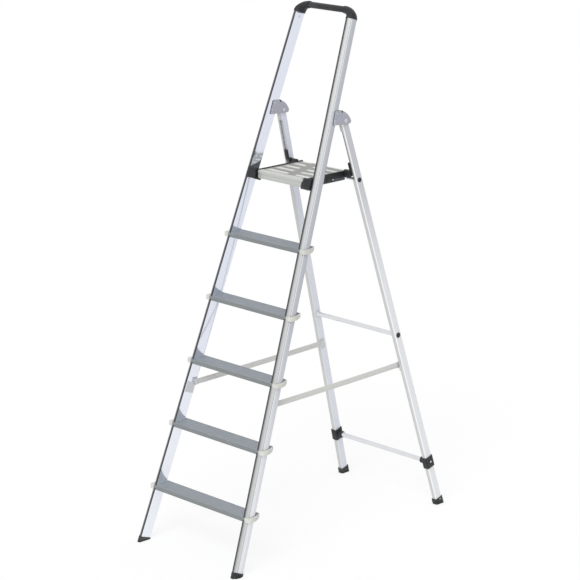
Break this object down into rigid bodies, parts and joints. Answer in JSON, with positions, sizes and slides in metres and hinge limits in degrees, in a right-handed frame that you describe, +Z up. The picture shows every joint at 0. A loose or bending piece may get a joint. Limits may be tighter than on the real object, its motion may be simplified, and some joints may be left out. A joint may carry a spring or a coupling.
{
  "type": "step ladder",
  "caption": "Folding step ladder with a hinged standing platform, a hand hoop over it, webbing spreaders and a splayed rear frame that folds flat against the stiles.",
  "frame": {"origin": "on the floor, in the middle of the open ladder's footprint", "axes": "+Z up, +Y from the climbing side to the rear frame, +X to the right of someone who faces the steps and climbs"},
  "size_m": [0.5558, 1.1548, 2.0144],
  "materials": {
    "anodised_aluminium": "satin anodised, fine lines along the section",
    "step_aluminium": "satin, ribbed",
    "deck_aluminium": "satin, ribbed",
    "grey_plastic": "fine moulded grain",
    "zinc_steel": "zinc plated, pressed",
    "chromed_steel": "bright",
    "fastener_steel": "zinc plated",
    "black_plastic": "fine moulded grain",
    "webbing": "flat woven webbing"
  },
  "bodies": {
    "front_frame": {"front_foot_left": "black_plastic", "front_foot_right": "black_plastic", "front_foot_rivets": "fastener_steel", "hinge_bolt_left": "fastener_steel", "hinge_bolt_right": "fastener_steel", "hinge_plate_inner_left": "zinc_steel", "hinge_plate_inner_right": "zinc_steel", "hinge_plate_outer_left": "zinc_steel", "hinge_plate_outer_right": "zinc_steel", "hinge_rivets": "fastener_steel", "hoop_bar": "black_plastic", "hoop_corner_left": "black_plastic", "hoop_corner_right": "black_plastic", "hoop_screws": "fastener_steel", "platform_bracket_left": "black_plastic", "platform_bracket_right": "black_plastic", "step_1": "step_aluminium", "step_2": "step_aluminium", "step_3": "step_aluminium", "step_4": "step_aluminium", "step_5": "step_aluminium", "step_collars_left": "grey_plastic", "step_collars_right": "grey_plastic", "step_rivets": "fastener_steel", "stile_left": "anodised_aluminium", "stile_right": "anodised_aluminium", "stop_pin_left": "black_plastic", "stop_pin_right": "black_plastic", "strap_anchor_front_left": "fastener_steel", "strap_anchor_front_right": "fastener_steel", "strap_left": "webbing", "strap_right": "webbing"},
    "rear_frame": {"clamp_rivets": "fastener_steel", "crossbar_plugs": "black_plastic", "crossbar_sleeves": "chromed_steel", "lower_clamp_left": "black_plastic", "lower_clamp_right": "black_plastic", "lower_crossbar": "chromed_steel", "rear_foot_left": "black_plastic", "rear_foot_right": "black_plastic", "rear_foot_rivets": "fastener_steel", "rear_leg_left": "anodised_aluminium", "rear_leg_right": "anodised_aluminium", "rest_bar": "chromed_steel", "rest_bar_plugs": "black_plastic", "strap_anchor_rear_left": "fastener_steel", "strap_anchor_rear_right": "fastener_steel", "upper_crossbar": "chromed_steel"},
    "platform": {"deck": "deck_aluminium", "guide_arm_left": "black_plastic", "guide_arm_right": "black_plastic", "nosing": "deck_aluminium", "platform_pivot_left": "fastener_steel", "platform_pivot_right": "fastener_steel", "side_cap_left": "black_plastic", "side_cap_right": "black_plastic", "side_cap_rivets": "fastener_steel"},
    "shoe_right": {"guide_shoe_right": "black_plastic"},
    "shoe_left": {"guide_shoe_left": "black_plastic"}
  },
  "joints": [
    {"name": "fold", "type": "hinge", "parent": "front_frame", "child": "rear_frame", "pos_m": [0, 0.09362, 1.598], "axis": [-1, 0, 0], "range_deg": [0, 35], "deforming": ["strap_right", "strap_left"]},
    {"name": "platform_tilt", "type": "hinge", "parent": "front_frame", "child": "platform", "pos_m": [0, -0.04095, 1.378], "axis": [1, 0, 0], "range_deg": [0, 59.5]},
    {"name": "shoe_slide_right", "type": "slide", "parent": "rear_frame", "child": "shoe_right", "axis": [-0.0584, -0.2768, 0.9591], "range_m": [0, 0.12218]},
    {"name": "shoe_slide_left", "type": "slide", "parent": "rear_frame", "child": "shoe_left", "axis": [0.0584, -0.2768, 0.9591], "range_m": [0, 0.12218]}
  ],
  "couplings": [
    {"joint": "platform_tilt", "follows": "fold", "ratio": 1.7},
    {"joint": "shoe_slide_right", "follows": "fold", "m_per_rad": 0.2},
    {"joint": "shoe_slide_left", "follows": "fold", "m_per_rad": 0.2}
  ]
}
